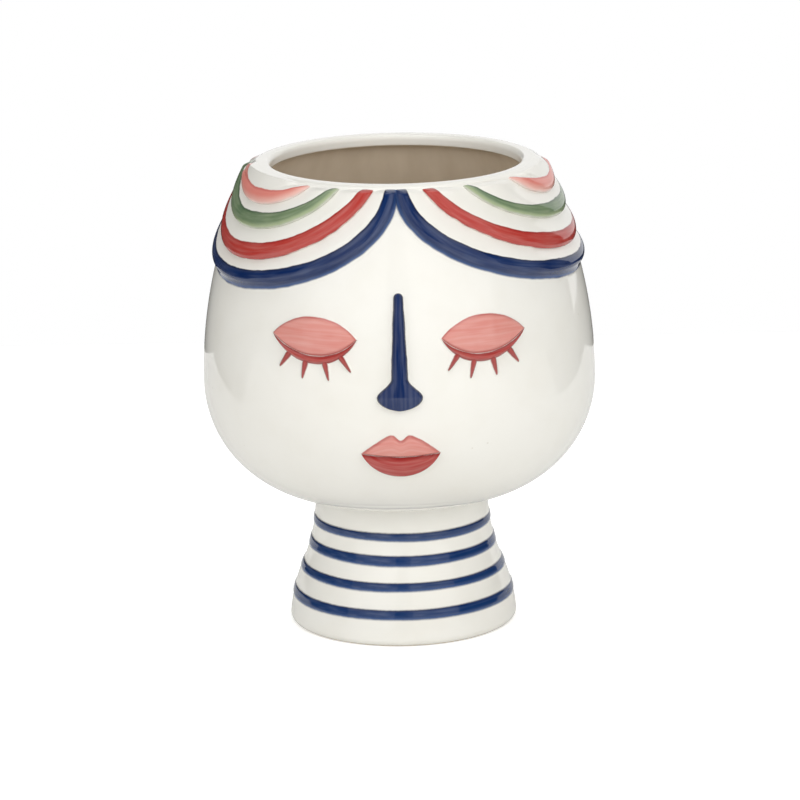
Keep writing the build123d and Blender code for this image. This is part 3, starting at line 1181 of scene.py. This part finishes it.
    def lay(self, number: int, name: str) -> Piece:
        """One layer: its section carried along the swag, with the bed sunk into the head.

        The swing, drop and slack go evenly from the upper swag to the lower one. The fall is the
        drop times a power of the sine along the lock, and the rise fades out as the fall does.
        The colour's distances are counted up from the roll's lower edge.

        Args:
            number: which layer, from the rim down.
            name: name of the lock.

        Returns:
            The layer.
        """
        layer, lock, section = self.layers[number], self.locks[name], self.section(number)
        upper, lower = self.swags[number : number + 2]
        along = np.linspace(0.0, math.pi, self.stations)[:, None]
        hang = np.sin(along)
        full = self.end_spill + (1.0 - self.end_spill) * hang
        share = np.where(section[:, 0] > 1.0, 1.0 + (section[:, 0] - 1.0) * full, section[:, 0])
        first, last = lock.swings[number : number + 2]
        far = lock.middle * np.cos(along) < 0.0
        if number == 0:
            first = np.where(far, lock.far_top, first)
        swing = first + (last - first) * share
        drop = np.maximum(upper.drop + (lower.drop - upper.drop) * share, -self.over_rim)
        slack = upper.slack + (lower.slack - upper.slack) * np.clip(share, 0.0, 1.0)
        turn = np.radians(lock.middle - swing * np.cos(along))
        fall = drop * np.maximum(hang, 0.0) ** slack
        run = self.skin.run_at(self.rim - fall)
        facing = 1.0 - smooth(np.abs(np.degrees(turn)), *self.front)
        fade = smooth(fall, self.fade_from, self.fade_to - self.fade_front * facing)
        rise = layer.rise * section[:, 1] * fade - self.sunk * (1.0 - fade)
        if number == 0 and lock.faceted:
            kept = smooth(hang / np.where(far, lock.far_ease, self.facet_ease), 0.0, 1.0)
            filled = self.facet(share, run) * kept + self.facet_lift
            filled = np.where(share <= self.crest, filled, -self.sunk)
            filled[[0, -1]] = -self.sunk
            rise = np.maximum(rise, filled)
        depth = np.where(fade > 0.0, -self.bed, -self.sunk)
        top, bed, flat = (self.skin.around(turn, run, lift) for lift in (rise, depth, 0.0))

        start, base = (np.argmin(np.abs(section[:, 0] - end)) for end in (0.0, 1.0))
        below = (1.0 - share) * np.linalg.norm(flat[:, base] - flat[:, start], axis=-1)[:, None]
        limb = 4.0 * hang * (1.0 - hang) * (1.0 - facing) * layer.limb_width
        colour = layer.end_width + (layer.paint_width - layer.end_width) * hang + limb
        in_upper = rounded_inside(colour - below, fall, self.end_round)
        in_lower = rounded_inside(below + layer.spill * full, fall, self.end_round)
        stroke = beside(run_along(flat[:, base])[:, None], in_upper, in_lower)
        patch = Patch(folded(top, bed), stroke=folded(stroke, stroke))
        return make_piece(f"hair_{layer.name}_{name}", [patch])

    def build(self) -> dict[str, tuple[Finish, Piece]]:
        """Lays every layer of every lock.

        Returns:
            Finish and piece for each roll's solid.
        """
        built = {}
        for name in self.locks:
            for number, layer in enumerate(self.layers):
                built[f"hair_roll_{layer.name}_{name}"] = (layer.finish, self.lay(number, name))
        return built


@dataclass
class Mark:
    """Raised stroke on the face, equally wide on both sides of its spine."""

    spine: Array  # rows of across and height, in the front view
    side: Pair  # direction from the spine to an edge
    half: Array  # half width at each point of the spine
    rise: float
    crown: float  # further height at the middle
    columns: int = 41


@dataclass
class Face(Assembly):
    """Closed eyelids with lashes, nose and lips in low relief.

    A relief is the height at a stroke's edge, and what its middle adds.
    """

    skin: Skin
    eye_height: float = 152.0
    eye_spread: float = 37.0
    eye_half_width: float = 18.5
    lid_rise: float = 9.0
    lid_sag: float = 8.0
    lid_relief: Pair = (1.0, 1.0)
    lash_line: float = 3.6
    lash_length: float = 7.5
    lash_root: float = 3.0
    lash_tip: float = 1.2
    lash_angles: tuple[float, ...] = (-34.0, -12.0, 12.0, 34.0)
    lash_overlap: float = 1.2  # how far a lash starts inside the lash line
    lash_squareness: float = 6.0  # power that rounds a lash's ends
    lash_relief: Pair = (1.6, 0.0)
    nose_top: float = 170.0
    nose_base: float = 121.0
    nose_top_half: float = 2.2
    nose_bridge_half: float = 3.8
    nose_flare: float = 14.0
    nose_wing_half: float = 10.0
    nose_wing: float = 5.5
    nose_relief: Pair = (1.9, 1.1)
    mouth: float = 101.0
    lips_half_width: float = 17.5
    lips_bow: float = 10.3
    lips_bow_power: float = 1.5
    lips_bow_dip: float = 3.8
    lips_dip_width: float = 2.6
    lips_part: float = 1.5
    lips_lower: float = 11.5
    upper_relief: Pair = (1.7, 0.7)
    lower_relief: Pair = (1.6, 1.0)
    skirt: float = 1.7  # how far the glaze runs out beside a stroke
    skirt_steps: tuple[float, ...] = (0.12, 0.28, 0.45, 0.65, 0.85, 1.0)  # shares of it
    shoulder: float = 1.5  # width of the round along an edge, inside it
    foot: float = 0.8  # the same outside it
    dip: float = 0.3  # how deep the skirt's end lies in the head
    dip_from: float = 0.7  # distance from the edge at which it starts to dip
    bed: float = 1.2  # how deep a stroke is sunk into the head
    clear: float = 40.0  # keeps the count across a stroke well inside its lower edge
    edge_points: int = 161
    lash_points: int = 61
    lash_columns: int = 25
    nose_points: int = 221

    @staticmethod
    def between(middle: Pair, across: Array, upper: Array, lower: Array, relief: Pair) -> Mark:
        """Stroke between two edges, with its spine half way between them.

        Args:
            middle: place of its middle, across and up.
            across: distances from the middle.
            upper: heights of the upper edge above the middle.
            lower: those of the lower edge.
            relief: its relief.

        Returns:
            The stroke.
        """
        spine = beside(middle[0] + across, middle[1] + (upper + lower) / 2.0)
        return Mark(spine, (0.0, 1.0), (upper - lower) / 2.0, *relief)

    def lens(self, middle: Pair, half_width: float, bends: Pair, relief: Pair) -> Mark:
        """Shape between two arcs through the same corners, bent by two heights.

        Args:
            middle: place half way between the corners, across and up.
            half_width: half the distance between the corners.
            bends: heights of the upper and lower arc at the middle.
            relief: its relief.

        Returns:
            The stroke.
        """
        across = half_width * eased(self.edge_points)
        upper, lower = (bend(across, half_width, rise) for rise in bends)
        return self.between(middle, across, upper, lower, relief)

    def lash(self, middle: float, angle: float) -> Mark:
        """Straight tapered stroke square to the lash line, with rounded ends.

        Args:
            middle: place across of the eye's middle.
            angle: how far it leans from straight down, in degrees.

        Returns:
            The stroke.
        """
        sag = self.lid_sag + self.lash_line
        radius = arc_radius(self.eye_half_width, sag)
        centre = self.eye_height - sag + radius
        lean = math.radians(angle)
        share = (1.0 + eased(self.lash_points)) / 2.0
        reach = radius - self.lash_overlap + share * (self.lash_length + self.lash_overlap)
        spine = beside(middle + math.sin(lean) * reach, centre - math.cos(lean) * reach)
        taper = (self.lash_root + (self.lash_tip - self.lash_root) * share) / 2.0
        ends = np.maximum(1.0 - np.abs(2.0 * share - 1.0) ** self.lash_squareness, 0.0)
        square = (math.cos(lean), math.sin(lean))
        return Mark(spine, square, taper * np.sqrt(ends), *self.lash_relief, self.lash_columns)

    def nose(self) -> Mark:
        """Straight bridge that flares into two even wings over a round base.

        The half width is a round cap, then a straight taper, then a smooth step out to the
        wings, then half an ellipse for the base.

        Returns:
            The stroke.
        """
        top, base = self.nose_top + self.nose_top_half, self.nose_base
        height = (top + base) / 2.0 - (top - base) / 2.0 * eased(self.nose_points)
        flare, wing = base + self.nose_flare, base + self.nose_wing
        cap = np.sqrt(np.maximum(self.nose_top_half**2 - (height - self.nose_top) ** 2, 0.0))
        taper = np.interp(height, [flare, self.nose_top], [self.nose_bridge_half, self.nose_top_half])
        swell = smooth(-height, -flare, -wing) * (self.nose_wing_half - self.nose_bridge_half)
        low = np.clip((wing - height) / self.nose_wing, 0.0, 1.0)
        round_base = self.nose_wing_half * np.sqrt(1.0 - low**2)
        half = np.where(height > self.nose_top, cap, np.where(height < wing, round_base, taper + swell))
        return Mark(beside(0.0, height), (-1.0, 0.0), half, *self.nose_relief)

    def upper_lip(self) -> Mark:
        """Upper lip: a bow that falls from the middle as a power, less a narrow dip at the middle.

        Returns:
            The stroke.
        """
        half_width = self.lips_half_width
        across = half_width * eased(self.edge_points)
        bow = self.lips_bow * (1.0 - np.abs(across / half_width) ** self.lips_bow_power)
        upper = bow - self.lips_bow_dip * np.exp(-((across / self.lips_dip_width) ** 2))
        lower = bend(across, half_width, -self.lips_part)
        return self.between((0.0, self.mouth), across, upper, lower, self.upper_relief)

    def raise_mark(self, mark: Mark) -> Patch:
        """Closed surface of a stroke: a round-edged relief that runs out into the glaze.

        The place across goes from one edge through the spine to the other and on into a skirt,
        which turns round the ends. The height is a smooth step of the distance inside the edge.

        Args:
            mark: the stroke.

        Returns:
            Its surface, closed by a bed inside the head.
        """
        run = run_along(mark.spine)
        left = run[-1] - run
        ahead = np.gradient(mark.spine, run, axis=0)
        ahead = ahead / np.linalg.norm(ahead, axis=1, keepdims=True)
        outwards = np.where(run < left, -1.0, 1.0)[:, None] * ahead
        tip = np.clip(1.0 - np.minimum(run, left) / self.skirt, 0.0, 1.0)[:, None] * (math.pi / 2.0)
        edge = 1.0 + np.array(self.skirt_steps)
        share = np.concatenate([-edge[::-1], np.linspace(-1.0, 1.0, mark.columns), edge])[None, :]
        within = np.clip(share, -1.0, 1.0)
        over = np.maximum(np.abs(share) - 1.0, 0.0) * self.skirt
        half, square = mark.half[:, None], np.array(mark.side)
        sideways = (np.sign(share) * np.cos(tip))[..., None] * square
        skirt_way = sideways + (np.sin(tip) * outwards)[:, None, :]
        place = mark.spine[:, None, :] + (within * half)[..., None] * square + over[..., None] * skirt_way
        inside = (1.0 - np.abs(within)) * half - over
        dome = mark.crown * (1.0 - within**2) * (half / half.max())
        dip = self.dip * smooth(-inside, self.dip_from, self.skirt)
        rise = mark.rise * smooth(inside, -self.foot, self.shoulder) + dome - dip
        across, height = np.moveaxis(place, -1, 0)
        top, bed = (self.skin.in_front(across, height, lift) for lift in (rise, -self.bed))
        stroke = beside(run[:, None], inside, self.clear + share * half)
        return Patch(folded(top, bed), stroke=folded(stroke, stroke))

    def build(self) -> dict[str, tuple[Finish, Piece]]:
        """Raises all strokes of the face.

        Returns:
            Finish and piece for each solid of the face.
        """
        strokes = {}
        bends = (self.lid_rise, -self.lid_sag, -self.lid_sag - self.lash_line)
        for name, side in SIDES.items():
            middle = (side * self.eye_spread, self.eye_height)
            lid = self.lens(middle, self.eye_half_width, bends[:2], self.lid_relief)
            line = self.lens(middle, self.eye_half_width, bends[1:], self.lash_relief)
            lashes = [self.lash(middle[0], side * angle) for angle in self.lash_angles]
            strokes[f"eyelid_{name}"] = (Finish.PINK, f"lid_{name}", [lid])
            strokes[f"lashes_{name}"] = (Finish.CORAL, f"lash_stroke_{name}", [line, *lashes])
        bends = (-self.lips_part, -self.lips_lower)
        lower_lip = self.lens((0.0, self.mouth), self.lips_half_width, bends, self.lower_relief)
        strokes["nose"] = (Finish.NAVY, "nose_stroke", [self.nose()])
        strokes["upper_lip"] = (Finish.PINK, "lip_upper", [self.upper_lip()])
        strokes["lower_lip"] = (Finish.CORAL, "lip_lower", [lower_lip])
        return {
            node: (finish, make_piece(name, [self.raise_mark(mark) for mark in marks]))
            for node, (finish, name, marks) in strokes.items()
        }


# Studio


@dataclass(frozen=True)
class Lamp:
    """Soft box, in metres and watts."""

    name: str
    place: Place
    size: Pair
    power: float
    mirrored: bool  # whether the glaze shows its shape

    def hang(self, aim: Place) -> None:
        """Adds the box to the scene.

        Args:
            aim: the place that it faces.
        """
        data = bpy.data.lights.new(self.name, "AREA")
        data.shape, data.energy = "RECTANGLE", self.power
        data.size, data.size_y = self.size
        lamp = add_object(self.name, data)
        lamp.location, lamp.visible_camera, lamp.visible_glossy = self.place, False, self.mirrored
        lamp.rotation_mode = "QUATERNION"
        lamp.rotation_quaternion = (Vector(aim) - Vector(self.place)).to_track_quat("-Z", "Y")


@dataclass
class Studio:
    """Pale floor, large soft boxes, a surround that is white behind the pot, and the camera.

    Lengths are in metres, apart from those inside the camera.
    """

    camera_place: Place = (0.0, -1.930, 0.592)
    camera_aim: Place = (0.0, 0.0, 0.103)
    camera_roll: float = 1.05  # degrees
    camera_clip: Pair = (0.05, 100.0)
    lens: float = 194.3
    sensor: float = 36.0
    floor_back: float = 0.55  # reach of the floor behind the pot and beside its back half
    floor_waist: float = 0.07  # where the floor widens towards the front
    floor_front: float = 2.2
    floor_glow: float = 0.5  # lifts the floor to white without lighting the pot
    floor_fade: Pair = (0.5, 1.1)  # distances over which the floor turns plain white
    floor_mirrored: float = 0.1  # share of the glow that the glaze mirrors
    floor_tone: Rgb = (240, 240, 238)
    floor_roughness: float = 0.9
    surround: float = 0.30  # strength of the surround as light
    dark_side: float = 0.04  # what the glaze mirrors of the dark side of the studio
    white_from: float = -8.0  # degrees from straight behind, over which the glaze mirrors white
    white_to: float = 50.0
    white_soft: float = 1.0  # half width of that stretch's soft edges
    white_low: float = -0.09  # sine of the elevation from which it does
    white_low_soft: float = 0.01
    lean: float = 0.08  # share by which the right side is lit more than the left
    lamp_aim: Place = (0.0, 0.0, 0.11)
    side_lamps: tuple[Lamp, ...] = (
        Lamp("panel", (0.78, -1.16, 0.56), (1.35, 1.1), 3.1, True),
        Lamp("fill_box", (1.4, -1.5, 1.25), (1.5, 1.5), 14.5, False),
    )
    middle_lamps: tuple[Lamp, ...] = (
        Lamp("top_box", (0.0, -0.2, 2.1), (1.5, 1.5), 10.0, True),
        Lamp("back_box", (0.0, 1.9, 0.8), (1.5, 1.2), 13.0, False),
    )

    @staticmethod
    def shown(wiring: Wiring) -> tuple[Socket, Socket]:
        """Masks of two kinds of rays.

        Args:
            wiring: wiring of a shader.

        Returns:
            Mask of the rays that the camera sends, and of those mirrored or let through.
        """
        path = wiring.node("ShaderNodeLightPath").outputs
        mirrored = wiring.math("MAXIMUM", path["Is Glossy Ray"], path["Is Transmission Ray"])
        return path["Is Camera Ray"], mirrored

    def floor(self) -> None:
        """Pale floor that shows white to the camera and in the glaze, and keeps the pot's shadow."""
        near, wide, waist = self.floor_back, self.floor_front, self.floor_waist
        half = [(wide, -wide, 0.0), (wide, waist, 0.0), (near, waist, 0.0), (near, near, 0.0)]
        corners = half + [(-x, y, z) for x, y, z in reversed(half)]
        mesh = bpy.data.meshes.new("floor")
        mesh.from_pydata(corners, [], [tuple(range(len(corners)))])
        floor = add_object("floor", mesh)
        material, wiring, shader = new_material("pale_floor")
        seen, mirrored = self.shown(wiring)
        seen = wiring.plus(seen, wiring.times(mirrored, self.floor_mirrored))
        away = wiring.node("ShaderNodeVectorMath", {0: wiring.place()}, operation="LENGTH")
        far = wiring.step(away.outputs["Value"], *self.floor_fade)
        glow = wiring.math("MULTIPLY_ADD", far, 1.0 - self.floor_glow, self.floor_glow)
        looks = {
            "Base Color": linear(self.floor_tone),
            "Roughness": self.floor_roughness,
            "Specular IOR Level": 0.0,
            "Emission Color": PLAIN_WHITE,
            "Emission Strength": wiring.times(seen, glow),
        }
        wiring.feed(shader, looks)
        mesh.materials.append(material)

    def light(self) -> None:
        """Surround and lamps.

        The camera sees the surround white. The glaze mirrors it white behind the pot and dark
        elsewhere, and as light it is even.
        """
        world = bpy.data.worlds.new("surround")
        world.use_nodes = True
        bpy.context.scene.world = world
        wiring = Wiring(world.node_tree)
        way = wiring.node("ShaderNodeTexCoord").outputs["Generated"]
        x, y, z = wiring.node("ShaderNodeSeparateXYZ", {0: way}).outputs
        turn = wiring.times(wiring.math("ARCTAN2", x, y), 180.0 / math.pi)
        started = wiring.step(turn, self.white_from - self.white_soft, self.white_from + self.white_soft)
        unended = wiring.step(turn, self.white_to + self.white_soft, self.white_to - self.white_soft)
        low, soft = self.white_low, self.white_low_soft
        behind = wiring.times(wiring.times(started, unended), wiring.step(z, low - soft, low + soft))
        dark = self.dark_side
        mirror = wiring.math("MULTIPLY_ADD", behind, 1.0 - dark, dark - self.surround)
        seen, mirrored = self.shown(wiring)
        strength = wiring.math("MULTIPLY_ADD", seen, 1.0 - self.surround, self.surround)
        strength = wiring.plus(strength, wiring.times(mirrored, mirror))
        wiring.feed(world.node_tree.nodes["Background"], {"Color": PLAIN_WHITE, "Strength": strength})
        for name, side in SIDES.items():
            for lamp in self.side_lamps:
                across, ahead, up = lamp.place
                moved = {"name": f"{lamp.name}_{name}", "place": (across * side, ahead, up)}
                replace(lamp, **moved, power=(1.0 + side * self.lean) * lamp.power).hang(self.lamp_aim)
        for lamp in self.middle_lamps:
            lamp.hang(self.lamp_aim)

    def camera(self) -> None:
        """Camera at the photograph's viewing angle, tilted sideways as it was held."""
        data = bpy.data.cameras.new("camera")
        data.lens, data.sensor_width = self.lens, self.sensor
        data.clip_start, data.clip_end = self.camera_clip
        camera = add_object("camera", data)
        way = Vector(self.camera_aim) - Vector(self.camera_place)
        turn = way.to_track_quat("-Z", "Y").to_matrix().to_4x4()
        roll = Matrix.Rotation(math.radians(-self.camera_roll), 4, "Z")
        camera.matrix_world = Matrix.Translation(self.camera_place) @ turn @ roll
        bpy.context.scene.camera = camera

    def build(self) -> None:
        """Sets up the whole studio."""
        self.floor()
        self.light()
        self.camera()
        bpy.context.scene.view_settings.view_transform = "Standard"


def main() -> None:
    """Builds the pot piece by piece, then the studio."""
    logging.basicConfig(level=logging.INFO, format="%(name)s: %(message)s")
    looks, bowl = Looks(), Bowl()
    skin = bowl.skin()
    for assembly in (bowl, Neck(), Hair(skin, bowl.top), Face(skin)):
        for piece in assembly.dress(looks):
            log.info("%s of %s: %d faces", piece.name, type(assembly).__name__, len(piece.data.polygons))
    Studio().build()


if __name__ == "__main__":
    main()
